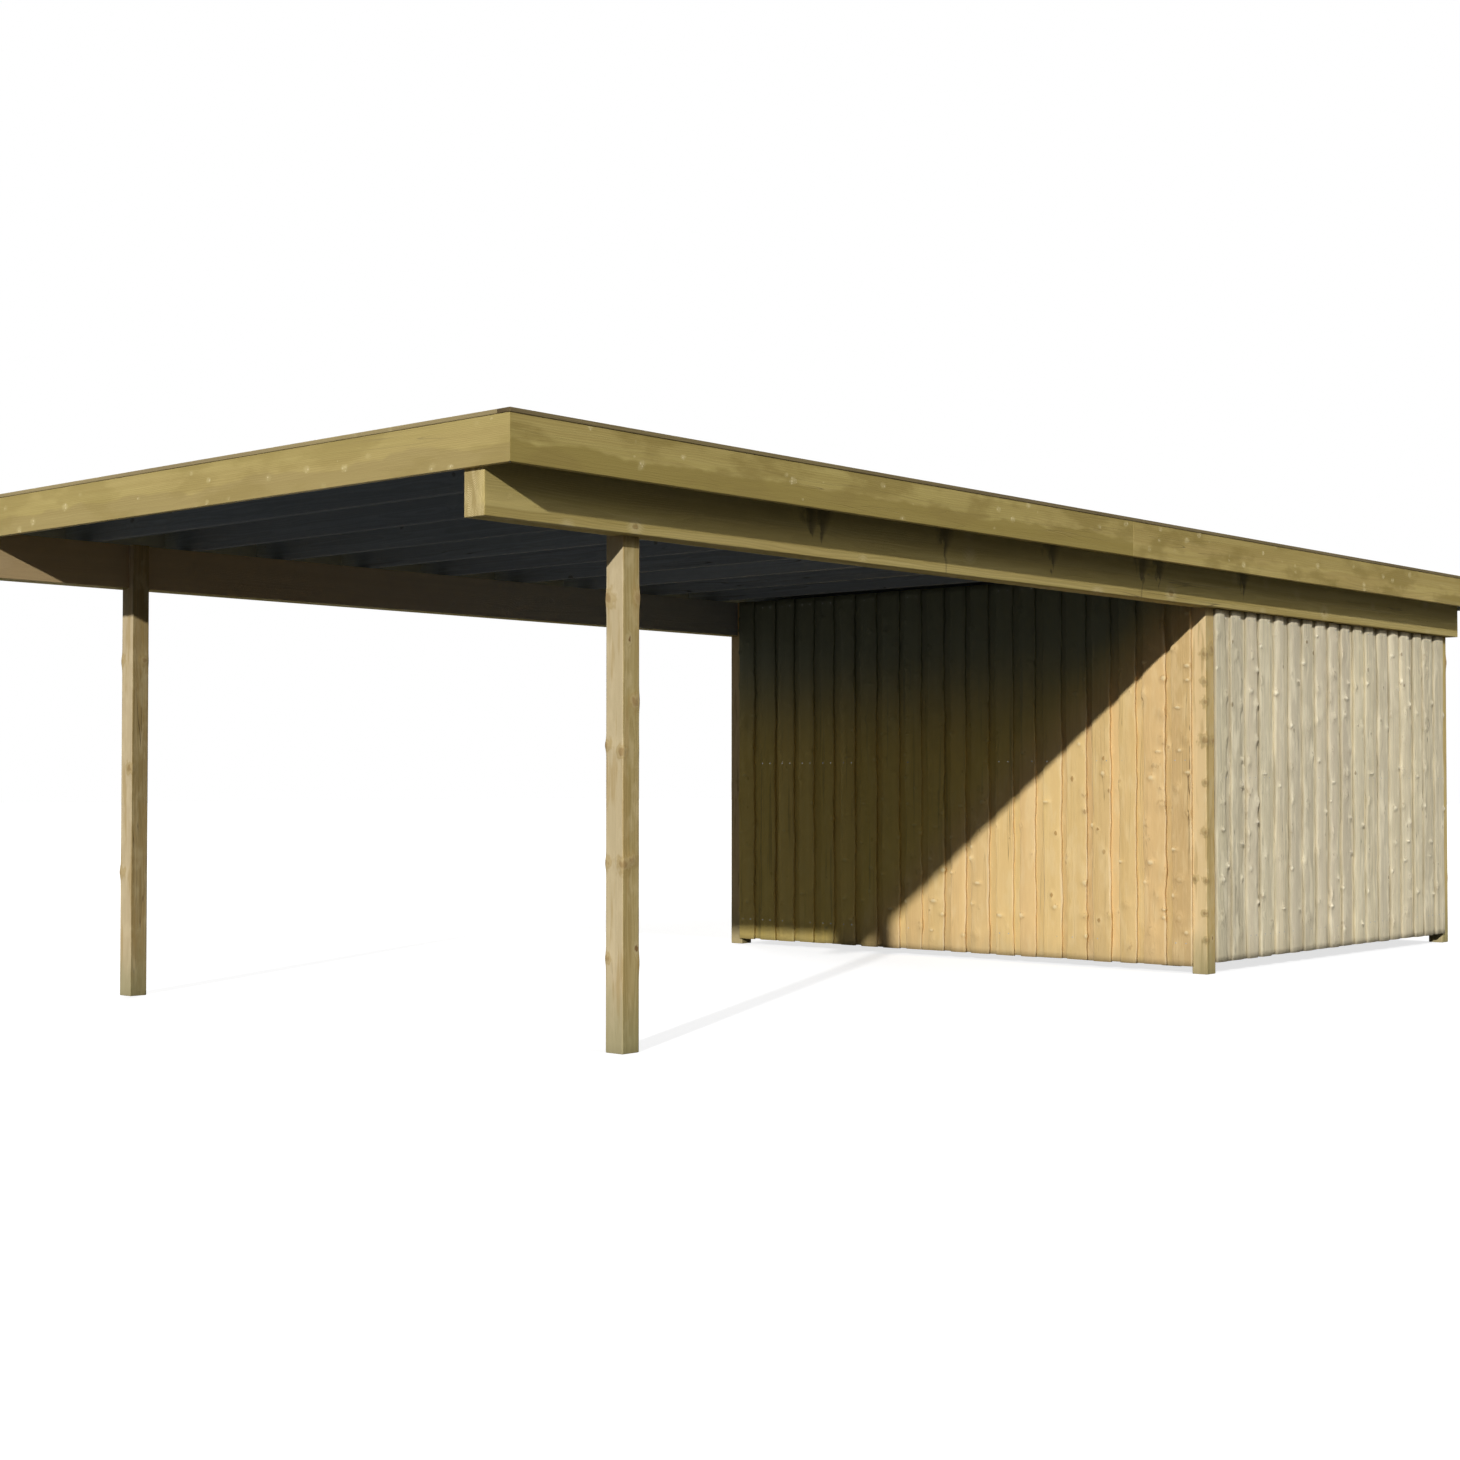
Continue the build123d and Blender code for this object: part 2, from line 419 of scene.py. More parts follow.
def eased_copy(node, along, arris, draw):
    """A CAD piece's own shape with its sharp arrises eased, and its grain stored on it."""
    weld, flat_angle = 0.00005, math.radians(1.0)
    form = bmesh.new()
    form.from_mesh(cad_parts[node].data)
    bmesh.ops.remove_doubles(form, verts=form.verts, dist=weld)
    bmesh.ops.dissolve_limit(form, angle_limit=flat_angle, verts=form.verts, edges=form.edges)
    sharp = [edge for edge in form.edges if edge.calc_face_angle(0.0) > flat_angle]
    bmesh.ops.bevel(form, geom=sharp, offset=arris, segments=2, profile=0.5, affect="EDGES")
    mark_sticks(form, along, draw)
    return form


def stand(form, name, material, slot, *nodes):
    """Make a piece of a finished mesh, on the carport's one body, in place of its CAD nodes."""
    mesh = bpy.data.meshes.new(name)
    form.to_mesh(mesh)
    form.free()
    mesh.materials.append(material)
    piece = bpy.data.objects.new(name, mesh)
    bpy.context.scene.collection.objects.link(piece)
    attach(piece, "root")
    if nodes:
        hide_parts(*nodes)


def cut_rings(form, axis, places):
    """Cut a mesh across one axis at each of the given places, so that it can be bent there."""
    direction = Vector([float(index == axis) for index in range(3)])
    for place_along in places:
        geometry = form.verts[:] + form.edges[:] + form.faces[:]
        bmesh.ops.bisect_plane(form, geom=geometry, plane_co=direction * place_along, plane_no=direction)


def swell(form, knots):
    """Raise the surface round each branch knot, and store how much of each spot is branch wood."""
    burr = form.verts.layers.float.new("burr")
    form.normal_update()
    moves = []
    for vert in form.verts:
        rise = nearest = 0.0
        for middle, reach, height in knots:
            nearness = math.exp(-(((vert.co - middle).length / reach) ** 2))
            rise += height * nearness
            nearest = max(nearest, nearness)
        vert[burr] = nearest
        moves.append((vert, vert.normal * rise))
    for vert, move in moves:
        vert.co += move


def whorled_post(node, whorls, draw):
    """A post's own shape, with the swellings where its branches grew in whorls."""
    low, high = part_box(node)
    form = eased_copy(node, UP, post_arris, draw)
    knots = []
    rings = {low.z + post_ring_step * count for count in range(1, int((high.z - low.z) / post_ring_step))}
    size = (high - low) / 2
    for whorl, turns in whorls:
        for turn in map(math.radians, turns):
            out = Vector((math.cos(turn), math.sin(turn), 0.0))
            out /= max(abs(out.x), abs(out.y))
            height = whorl + draw.uniform(-whorl_spread, whorl_spread)
            middle = (low + high) / 2 + Vector((out.x * size.x, out.y * size.y, 0.0))
            middle.z = height
            reach = draw.uniform(*whorl_reach)
            knots.append((middle, reach, draw.uniform(*whorl_rise)))
            rings.update(height + reach * share for share in whorl_rings)
    cut_rings(form, UP, sorted(rings))
    for axis in (0, 1):
        cut_rings(form, axis, [low[axis] + (high[axis] - low[axis]) * share for share in post_columns])
    swell(form, knots)
    ends = form.faces.layers.float["end_grain"]
    for face in form.faces:
        face.smooth = not round(face[ends])
    return form


def post_finish(name, tones, sun_bleach):
    """Post timber: mottled, bleached where it faces the sun, brown at the branches, green at the foot."""
    material, tree, colour, seen = timber_colour(name, post_shades, post_figure, tones)
    own_log = own_log_of(tree, post_log_step)
    surface = place(tree, "ShaderNodeNewGeometry").outputs
    colour = blotched(tree, colour, own_log, post_shades["halo"], **mottle)
    sunny = ranged(tree, axes_of(tree, surface["Normal"])["Y"], *sunny_slopes)
    colour = tinted(tree, colour, sunny, sun_bleach_share, sun_bleach)
    colour = blotched(tree, colour, own_log, resin_colour, **resin)
    burr = stored(tree, "burr", "Fac")
    ragged = swing_of(tree, surface["Position"], whorl_ragged)
    whorl = sum_of(tree, "MULTIPLY_ADD", ragged, whorl_ragged_size, burr)
    stain = sum_of(tree, "MULTIPLY", ranged(tree, whorl, *stain_levels), ranged(tree, burr, *stain_rim))
    colour = tinted(tree, colour, stain, stain_share, stain_colour)
    colour = tinted(tree, colour, ranged(tree, whorl, *pale_levels), pale_share, post_shades["halo"])
    brown = sum_of(tree, "MULTIPLY", ranged(tree, whorl, *brown_levels), ranged(tree, burr, *brown_rim))
    colour = tinted(tree, colour, brown, brown_share, brown_colour)
    foot = stain_from_ground(tree, surface["Position"], foot_reach)
    colour = tinted(tree, colour, foot, foot_share, foot_green)
    close_timber(tree, colour, seen, post_roughness, post_relief)
    return material


open_post = post_finish("open_post", open_tones, open_bleach)
sheltered_post = post_finish("sheltered_post", sheltered_tones, sheltered_bleach)

draw = random.Random(post_seed)
for row in ("front", "store", "rear"):
    post_material = open_post if row == "front" else sheltered_post
    for side in ("left", "right"):
        node = f"post_{row}_{side}"
        whorls = []
        height = draw.uniform(*whorl_step)
        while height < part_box(node)[1].z - whorl_step[0]:
            turn = draw.uniform(*whorl_turns)
            turns = (turn, turn + draw.uniform(*second_knot_turns))
            whorls.append((height, turns[: draw.choice((1, 2))]))
            height += draw.uniform(*whorl_step)
        form = whorled_post(node, seen_whorls.get(node, whorls), draw)
        stand(form, f"{node}_timber", post_material, "post_timber", node)

# Beams: one long sawn timber on each side, laid on the posts' shoulders and held by their tongues.
# Rain that gets past the roof edge has left dark runs on the outer faces, wide above and narrow below.
ALONG = 1
beam_seed = 23
beam_arris = 0.004
beam_shades = {
    "pale": (0.54, 0.44, 0.17, 1.0),
    "deep": (0.39, 0.30, 0.09, 1.0),
    "cast": (0.47, 0.355, 0.125, 1.0),
    "ring": (0.33, 0.245, 0.08, 1.0),
    "halo": (0.62, 0.52, 0.27, 1.0),
    "knot": (0.36, 0.26, 0.10, 1.0),
    "check": (0.10, 0.07, 0.04, 1.0),
    "end_pale": (0.66, 0.54, 0.27, 1.0),
    "end_deep": (0.36, 0.27, 0.10, 1.0),
}
beam_figure = {
    "Knot Spacing": 0.38,
    "Knot Lane": 0.12,
    "Knot Depth": 0.12,
    "Knot Radius": 0.024,
    "Ring Width": 0.006,
    "Pith Depth": 0.03,
}
beam_roughness = (0.66, 0.88)
beam_relief = 0.0012
# Painted shade on the beams' inner faces: orange-brown at the front, turning to a cool blue-grey towards
# the back, as skylight under the roof.
inner_front, inner_painted_shade = (0.58, 0.40, 0.22, 1.0), (0.41, 0.43, 0.46, 1.0)
inner_shade_turn = (-4.4, 0.4)
inner_shade_share = 0.75
# Painted light: the outer face above its lit strip, where the fascia's shadow falls, is made lighter.
shadow_band_painted_light_levels = (2.13, 2.16)
shadow_band_painted_light_colour, shadow_band_painted_light_share = (0.72, 0.575, 0.21, 1.0), 0.35
run_places = (-2.554, -2.479, -1.546, -0.61, 0.282, 0.457, 1.418)
run_levels, run_reach = (2.16, 2.34), (0.006, 0.12)
run_core_share = 0.05
run_fade = (2.15, 2.20)
run_ragged = (10.0, 24.0, 13.0)
run_sway, run_sag = 0.1, 0.2
run_colour, run_share = (0.075, 0.058, 0.034, 1.0), 0.7
drip_places = (-1.53, 0.285)
drip_reach = 0.016
drip_share = 0.7


def nearest_run(tree, along, places, reach, core):
    """One at the middle of the nearest of several runs, and zero out of its reach."""
    nearest = 0.0
    for run_place in places:
        away = sum_of(tree, "ABSOLUTE", sum_of(tree, "SUBTRACT", along, run_place))
        nearest = sum_of(tree, "MAXIMUM", nearest, ranged(tree, away, reach, core))
    return nearest


beam_material, tree, colour, seen = timber_colour("treated_beam", beam_shades, beam_figure)
spot = place(tree, "ShaderNodeNewGeometry").outputs["Position"]
beam_axes = axes_of(tree, spot)
beam_low, beam_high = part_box("beam_right")
from_middle = sum_of(tree, "ABSOLUTE", beam_axes["X"])
outer_face = ranged(tree, from_middle, (beam_low.x + beam_high.x) / 2, beam_high.x)
# Painted shade: the inner faces turn to a cool blue-grey towards the back.
inner_face_painted_shade = ranged(tree, from_middle, beam_low.x + beam_arris, beam_low.x)
inner_painted_colour = mixed(tree, ranged(tree, beam_axes["Y"], *inner_shade_turn), inner_front, inner_painted_shade)
colour = tinted(tree, colour, inner_face_painted_shade, inner_shade_share, inner_painted_colour)
# Painted light: the outer face is lightened in the band where the fascia's shadow falls.
upper = sum_of(tree, "MULTIPLY", ranged(tree, beam_axes["Z"], *shadow_band_painted_light_levels), outer_face)
colour = tinted(tree, colour, upper, shadow_band_painted_light_share, shadow_band_painted_light_colour)
jagged = swing_of(tree, spot, run_ragged, detail=4.0)
wavering = sum_of(tree, "MULTIPLY_ADD", jagged, run_sway, beam_axes["Y"])
sagging = sum_of(tree, "MULTIPLY_ADD", jagged, run_sag, beam_axes["Z"])
reach = ranged(tree, sagging, *run_levels, *run_reach)
core = sum_of(tree, "MULTIPLY", reach, run_core_share)
runs = nearest_run(tree, wavering, run_places, reach, core)
runs = sum_of(tree, "MULTIPLY", runs, ranged(tree, sagging, *run_fade))
drips = nearest_run(tree, wavering, drip_places, drip_reach, 0.0)
runs = sum_of(tree, "MAXIMUM", runs, sum_of(tree, "MULTIPLY", drips, drip_share))
colour = tinted(tree, colour, sum_of(tree, "MULTIPLY", runs, outer_face), run_share, run_colour)
close_timber(tree, colour, seen, beam_roughness, beam_relief)

draw = random.Random(beam_seed)
for side in ("left", "right"):
    node = f"beam_{side}"
    form = eased_copy(node, ALONG, beam_arris, draw)
    stand(form, f"{node}_timber", beam_material, "beam_timber", node)

# Rafters: planed softwood joists on edge across both beams, nailed down at each crossing.
# They lie in permanent shade, and their cool blue-grey colours are painted shade that stands in for the
# skylight there.
ACROSS = 0
rafter_seed = 31
rafter_arris = 0.002
rafter_painted_shade_colours = {
    "pale": (0.60, 0.655, 0.70, 1.0),
    "deep": (0.45, 0.49, 0.52, 1.0),
    "cast": (0.52, 0.56, 0.585, 1.0),
    "ring": (0.39, 0.42, 0.44, 1.0),
    "halo": (0.56, 0.60, 0.62, 1.0),
    "knot": (0.35, 0.36, 0.36, 1.0),
    "check": (0.13, 0.13, 0.125, 1.0),
    "end_pale": (0.30, 0.29, 0.26, 1.0),
    "end_deep": (0.18, 0.17, 0.15, 1.0),
}
rafter_figure = {
    "Knot Spacing": 0.36,
    "Knot Lane": 0.11,
    "Knot Depth": 0.25,
    "Knot Radius": 0.02,
    "Ring Width": 0.005,
    "Pith Depth": 0.07,
}
rafter_roughness = (0.62, 0.82)
rafter_relief = 0.0008


def plain_timber(name, shades, figure, roughness, relief, tones=(0.88, 1.1), gloss=0.08):
    """Timber with no more than its own figure."""
    material, tree, colour, seen = timber_colour(name, shades, figure, tones)
    close_timber(tree, colour, seen, roughness, relief, gloss=gloss)
    return material


shaded_timber = (rafter_painted_shade_colours, rafter_figure, rafter_roughness, rafter_relief)
rafter_material = plain_timber("joist_timber_painted_shade", *shaded_timber, gloss=0.0)
form = eased_copy("rafters", ACROSS, rafter_arris, random.Random(rafter_seed))
stand(form, "rafter_joists", rafter_material, "rafter_timber", "rafters")

# Roof deck: tongued and grooved boards laid along the roof and nailed to the rafters.
# From below, a small V shows at each joint.
deck_seed = 41
deck_cover = 0.096
deck_vee = 0.003
deck_joint = 0.0006
# The deck boards take the rafters' blue-grey painted shade colours.
deck_material = plain_timber("deck_board_painted_shade", *shaded_timber, gloss=0.0)


def sawn_block(form, low, high, arris):
    """Add one block with eased arrises to a mesh."""
    made = bmesh.ops.create_cube(form, size=1.0)["verts"]
    low, high = Vector(low), Vector(high)
    size, middle = high - low, (low + high) / 2
    for vert in made:
        vert.co = Vector([vert.co[axis] * size[axis] for axis in range(3)]) + middle
    edges = [edge for edge in form.edges if all(vert in made for vert in edge.verts)]
    bmesh.ops.bevel(form, geom=edges, offset=arris, segments=1, profile=0.5, affect="EDGES")


deck_low, deck_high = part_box("roof_deck")
deck_count = round((deck_high.x - deck_low.x) / deck_cover)
deck_pitch = (deck_high.x - deck_low.x) / deck_count
form = bmesh.new()
for count in range(deck_count):
    left = deck_low.x + deck_pitch * count + deck_joint / 2
    right = left + deck_pitch - deck_joint
    sawn_block(form, (left, deck_low.y, deck_low.z), (right, deck_high.y, deck_high.z), deck_vee)
mark_sticks(form, ALONG, random.Random(deck_seed))
stand(form, "roof_deck_boards", deck_material, "deck_boards", "roof_deck")

# Roof felt: bitumen felt with a fine mineral face, which sheds the rain.
# It is laid on the deck in strips along the roof, with lapped and bonded edges.
felt_strips = 5
felt_lap = 0.08
felt_skin = 0.0022
felt_arris = felt_skin / 3
felt_dark = (0.040, 0.042, 0.044, 1.0)
felt_pale = (0.115, 0.118, 0.122, 1.0)
felt_roughness = (0.78, 0.96)
felt_gloss = 0.15
grit_size = 420.0
grit_strength, grit_relief = 0.5, 0.001
dust = {"share": 0.5, "stretch": (0.9, 0.6, 1.0), "levels": (0.45, 0.7), "detail": 5.0}
dust_colour = (0.17, 0.165, 0.15, 1.0)

felt_material, tree = new_material("mineral_felt")
spot = place(tree, "ShaderNodeNewGeometry").outputs["Position"]
grit = place(tree, "ShaderNodeTexVoronoi", {"Vector": spot, "Scale": grit_size}).outputs
grain_share = place(tree, "ShaderNodeSeparateColor", {"Color": grit["Color"]}).outputs[0]
colour = blotched(tree, mixed(tree, grain_share, felt_dark, felt_pale), spot, dust_colour, **dust)
bump_inputs = {"Height": grit["Distance"], "Strength": grit_strength, "Distance": grit_relief}
close_surface(
    tree,
    {
        "Base Color": colour,
        "Roughness": ranged(tree, grain_share, 0.0, 1.0, *felt_roughness),
        "Specular IOR Level": felt_gloss,
        "Normal": place(tree, "ShaderNodeBump", bump_inputs).outputs["Normal"],
    },
)

felt_low, felt_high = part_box("roof_felt")
strip_width = (felt_high.x - felt_low.x + felt_lap * (felt_strips - 1)) / felt_strips
form = bmesh.new()
for count in range(felt_strips):
    left = felt_low.x + (strip_width - felt_lap) * count
    bottom = felt_low.z + (felt_high.z - felt_low.z - felt_skin) * (count % 2)
    upper_corner = (left + strip_width, felt_high.y, bottom + felt_skin)
    sawn_block(form, (left, felt_low.y, bottom), upper_corner, felt_arris)
stand(form, "roof_felt_strips", felt_material, "roof_felt", "roof_felt")

# Fascias: treated boards on edge, nailed to the rafter ends and mitred at the corners.
# The heartwood shows as a browner band along one edge, and the knots stay pale.
fascia_seed = 53
fascia_arris = 0.0025
fascia_shades = {
    "pale": (0.44, 0.345, 0.115, 1.0),
    "deep": (0.34, 0.255, 0.075, 1.0),
    "cast": (0.38, 0.275, 0.095, 1.0),
    "ring": (0.30, 0.215, 0.07, 1.0),
    "halo": (0.56, 0.46, 0.21, 1.0),
    "knot": (0.54, 0.445, 0.20, 1.0),
    "check": (0.12, 0.085, 0.04, 1.0),
    "end_pale": (0.40, 0.31, 0.13, 1.0),
    "end_deep": (0.22, 0.16, 0.06, 1.0),
}
fascia_figure = {
    "Knot Spacing": 0.13,
    "Knot Lane": 0.065,
    "Knot Depth": 0.30,
    "Knot Radius": 0.0095,
    "Ring Width": 0.006,
    "Pith Depth": 0.08,
}
fascia_roughness = (0.6, 0.8)
fascia_relief = 0.001
fascia_log_step = (40.0, 0.0, 0.0)
end_tones, side_tones = (1.2, 1.26), (1.13, 1.22)
end_shares = {"heart": 0.65, "faded": 0.28, "blotch": 0.35}
front_side_shares = {"heart": 0.85, "faded": 0.12, "blotch": 0.8}
rear_side_shares = {"heart": 0.25, "faded": 0.12, "blotch": 0.8}
end_heart, side_heart = (0.345, 0.245, 0.09, 1.0), (0.285, 0.21, 0.048, 1.0)
ABOVE, BELOW = 1.0, -1.0
heart_edge = 0.018
heart_stretch = (2.2, 0.0, 0.0)
heart_swing = 0.16
faded_colour = (0.45, 0.39, 0.19, 1.0)
blotch = {"stretch": (2.4, 7.0, 7.0), "levels": (0.46, 0.62), "detail": 5.0}
blotch_colour = (0.30, 0.225, 0.068, 1.0)
fascia_halo_share = 0.45
speck_scale = 70.0
speck_rim, speck_halo = (0.45, 0.2), (0.1, 0.6)
speck_colour, speck_share = (0.80, 0.69, 0.43, 1.0), 0.5
level_axes = (1.0, 1.0, 0.0)
inner_shade_slopes = (-0.3, -1.0)
inner_fascia_shade_share = 0.85


def fascia_finish(name, tones, heart_side, heart_colour, shares):
    """Fascia timber: a heartwood band on one side of a wavering line, water blotches, and painted shade on
    inner faces.
    """
    material, tree, colour, seen = timber_colour(name, fascia_shades, fascia_figure, tones)
    own_log = own_log_of(tree, fascia_log_step)
    line = sum_of(tree, "MULTIPLY", swing_of(tree, own_log, heart_stretch), heart_swing)
    across = axes_of(tree, stored(tree, "grain"))["Y"]
    beyond = sum_of(tree, "MULTIPLY", sum_of(tree, "SUBTRACT", across, line), heart_side)
    colour = tinted(tree, colour, ranged(tree, beyond, 0.0, heart_edge), shares["heart"], heart_colour)
    colour = mixed(tree, shares["faded"], colour, faded_colour)
    colour = blotched(tree, colour, own_log, blotch_colour, shares["blotch"], **blotch)
    colour = tinted(tree, colour, seen["Halo"], fascia_halo_share, fascia_shades["halo"])
    specks = place(tree, "ShaderNodeTexVoronoi", {"Vector": own_log, "Scale": speck_scale}).outputs
    near_knot = ranged(tree, seen["Halo"], *speck_halo)
    bright = sum_of(tree, "MULTIPLY", ranged(tree, specks["Distance"], *speck_rim), near_knot)
    colour = tinted(tree, colour, bright, speck_share, speck_colour)
    # Painted shade: faces turned in under the roof take the rafters' cool blue-grey.
    surface = place(tree, "ShaderNodeNewGeometry").outputs
    from_centre = vector_of(tree, "MULTIPLY", surface["Position"], level_axes)
    outward = vector_of(tree, "DOT_PRODUCT", from_centre, surface["Normal"])
    inner_face_painted_shade = ranged(tree, outward, *inner_shade_slopes)
    colour = tinted(tree, colour, inner_face_painted_shade, inner_fascia_shade_share, rafter_painted_shade_colours["cast"])
    close_timber(tree, colour, seen, fascia_roughness, fascia_relief)
    return material


end_fascia = fascia_finish("end_fascia", end_tones, BELOW, end_heart, end_shares)
side_fascias = {
    "front": fascia_finish("front_side_fascia", side_tones, BELOW, side_heart, front_side_shares),
    "rear": fascia_finish("rear_side_fascia", side_tones, ABOVE, side_heart, rear_side_shares),
}
draw = random.Random(fascia_seed)
for end in ("front", "rear"):
    node = f"fascia_{end}"
    form = eased_copy(node, ACROSS, fascia_arris, draw)
    stand(form, f"{node}_board", end_fascia, "fascia_timber", node)
for side in ("left", "right"):
    for end in ("front", "rear"):
        node = f"fascia_{side}_{end}"
        form = eased_copy(node, ALONG, fascia_arris, draw)
        stand(form, f"{node}_board", side_fascias[end], "fascia_timber", node)

# Caps: thin planed strips nailed flat along the top of the fascias, over the felt's edge.
# They weather first, to a dull grey-brown.
cap_seed = 59
cap_arris = 0.0025
cap_shades = {
    "pale": (0.36, 0.28, 0.125, 1.0),
    "deep": (0.20, 0.15, 0.075, 1.0),
    "cast": (0.25, 0.19, 0.11, 1.0),
    "ring": (0.17, 0.125, 0.065, 1.0),
    "halo": (0.44, 0.36, 0.19, 1.0),
    "knot": (0.16, 0.11, 0.06, 1.0),
    "check": (0.07, 0.055, 0.035, 1.0),
    "end_pale": (0.26, 0.19, 0.09, 1.0),
    "end_deep": (0.13, 0.09, 0.045, 1.0),
}
end_cap_tones, side_cap_tones = (1.2, 1.3), (0.6, 0.7)
draw = random.Random(cap_seed)
for name, along, ends, tones in (
    ("end_cap", ACROSS, ("front", "rear"), end_cap_tones),
    ("side_cap", ALONG, ("left", "right"), side_cap_tones),
):
    cap_material = plain_timber(name, cap_shades, fascia_figure, fascia_roughness, fascia_relief, tones)
    for end in ends:
        node = f"cap_{end}"
        form = eased_copy(node, along, cap_arris, draw)
        stand(form, f"{node}_strip", cap_material, "cap_timber", node)

# Rails: three sawn softwood rails behind each wall, at its foot, middle and head.
# They are fixed between the posts, and the boards are nailed to them.
rail_seed = 67
rail_arris = 0.003
rail_material = plain_timber("rail_timber", beam_shades, rafter_figure, beam_roughness, beam_relief)
draw = random.Random(rail_seed)
for wall, along in (("left", ALONG), ("right", ALONG), ("store_front", ACROSS), ("store_rear", ACROSS)):
    node = f"rails_{wall}"
    form = eased_copy(node, along, rail_arris, draw)
    stand(form, f"{node}_timber", rail_material, "rail_timber", node)

# Cladding: rough-sawn upright boards, an inner row with gaps and an outer row nailed over the gaps.
# Their edges keep a little of the tree's own line, and swell where branches were.
# Under the roof they stay golden, and outside they have weathered to a pale grey.
cladding_seed = 71
board_width = 0.122
board_gap = 0.055
board_arris = 0.004
board_step = 0.04
top_slack = 0.006
foot_slack = 0.0025
proud_slack = 0.002
crown_range = (0.0, 0.0045)
edge_slack = (-0.012, 0.013)
edge_waves = ((0.0028, 0.85), (0.0020, 0.31), (0.0012, 0.12))
log_places = (0.0, 90.0)
wane_width = 0.034
wane_drop = 0.013
wane_turns = (0.0, math.pi / 7, math.pi / 3.5, math.pi / 2.5)
wane_pace = 2.6
wane_rarity = 1.4
bark_cover = 0.45
branch_step = (0.09, 0.33)
branch_side = 0.009
knotty_rarity = 2
stub_chance = 0.5
stub_reach, stub_spread, stub_out = (0.010, 0.019), (0.014, 0.030), (0.006, 0.014)
swell_reach, swell_spread, swell_out = (0.020, 0.045), (0.024, 0.046), (0.005, 0.011)
swell_bare_share = 0.5
edge_chance = 0.5
branch_rings = (-1.7, -1.0, -0.5, 0.0, 0.5, 1.0, 1.7)
branch_faint = 0.02
ring_room = 0.005
touching = 0.001
post_lap = 0.008
outer_columns = tuple(count / 10 for count in range(11))
inner_columns = (0.0, 0.3, 0.5, 0.7, 1.0)
hand_sawn_swell = 0.002
hand_sawn_pace = (17.0, 8.0)
board_figure = {
    "Knot Spacing": 0.19,
    "Knot Lane": 0.075,
    "Knot Depth": 0.30,
    "Knot Radius": 0.014,
    "Ring Width": 0.0055,
    "Pith Depth": 0.06,
}
golden_shades = {
    "pale": (0.87, 0.625, 0.285, 1.0),
    "deep": (0.79, 0.54, 0.225, 1.0),
    "cast": (0.84, 0.575, 0.27, 1.0),
    "ring": (0.73, 0.49, 0.195, 1.0),
    "halo": (0.88, 0.63, 0.30, 1.0),
    "knot": (0.52, 0.31, 0.115, 1.0),
    "check": (0.24, 0.145, 0.055, 1.0),
    "end_pale": (0.50, 0.35, 0.17, 1.0),
    "end_deep": (0.28, 0.18, 0.08, 1.0),
    "edge": (0.84, 0.68, 0.42, 1.0),
    "blush": (0.85, 0.575, 0.27, 1.0),
    "bleach": (0.92, 0.71, 0.38, 1.0),
    "pale_crest_highlight": (0.96, 0.81, 0.49, 1.0),
}
golden_tones = (0.79, 1.05)
golden_shares = {"bleach": 0.3, "pale_crest_highlight": 0.55, "burr_clear": 1.0}
golden_knots, golden_wane = (0.15, 2.2), 0.35
silver_shades = {
    "pale": (0.90, 0.79, 0.54, 1.0),
    "deep": (0.66, 0.58, 0.40, 1.0),
    "cast": (0.77, 0.69, 0.51, 1.0),
    "ring": (0.56, 0.485, 0.33, 1.0),
    "halo": (0.82, 0.73, 0.53, 1.0),
    "knot": (0.42, 0.33, 0.20, 1.0),
    "check": (0.30, 0.245, 0.16, 1.0),
    "end_pale": (0.52, 0.44, 0.29, 1.0),
    "end_deep": (0.32, 0.25, 0.15, 1.0),
    "edge": (0.42, 0.365, 0.25, 1.0),
    "blush": (0.72, 0.63, 0.47, 1.0),
    "bleach": (0.95, 0.855, 0.62, 1.0),
    "pale_crest_highlight": (0.95, 0.89, 0.70, 1.0),
}
silver_tones = (0.85, 1.04)
silver_shares = {"bleach": 0.5, "pale_crest_highlight": 0.4, "burr_clear": 0.35}
silver_knots, silver_wane = (0.45, 1.6), 0.9
board_roughness = (0.74, 0.92)
board_relief = 0.003
board_mound = 1.5
board_hues = (0.497, 0.503)
board_log_step = (29.0, 31.0, 37.0)
blush_lots, blush_share = (0.55, 0.95), 0.45
bleach = {"stretch": (4.0, 15.0, 15.0), "levels": (0.5, 0.66)}
edge_stretch, edge_levels, edge_shares = (1.7, 0.0, 0.0), (0.35, 0.6), (0.25, 0.85)
burr_ragged, burr_ragged_size = (50.0, 50.0, 30.0), 0.8
burr_rim, burr_heart, burr_torn = (0.12, 0.35), (0.95, 0.6), (0.02, 0.16)
burr_ring_share = 0.75
# Pale crests on the branch swells: partly bare pale wood, partly a painted highlight.
pale_crest_highlight_levels = (0.3, 0.95)
# Painted shade for the store front: an olive tint above the line where the sun's shadow falls on the wall,
# dark streaks inside it, and a darker top under the roof.
shadow_line_slope = 0.9
shadow_line_blur = (0.45, 1.0)
painted_shade_colour, painted_shade_share = (0.78, 0.615, 0.125, 1.0), 0.6
shade_streaks = {"stretch": (0.9, 24.0, 24.0), "levels": (0.56, 0.7)}
shade_streak_colour, shade_streak_share = (0.30, 0.235, 0.085, 1.0), 0.45
painted_dark_top_levels = (1.2, 2.0)
painted_dark_top_colour, painted_dark_top_share = (0.25, 0.265, 0.185, 1.0), 0.95
splash_reach = 0.22
splash_colour, splash_share = (0.34, 0.28, 0.16, 1.0), 0.3


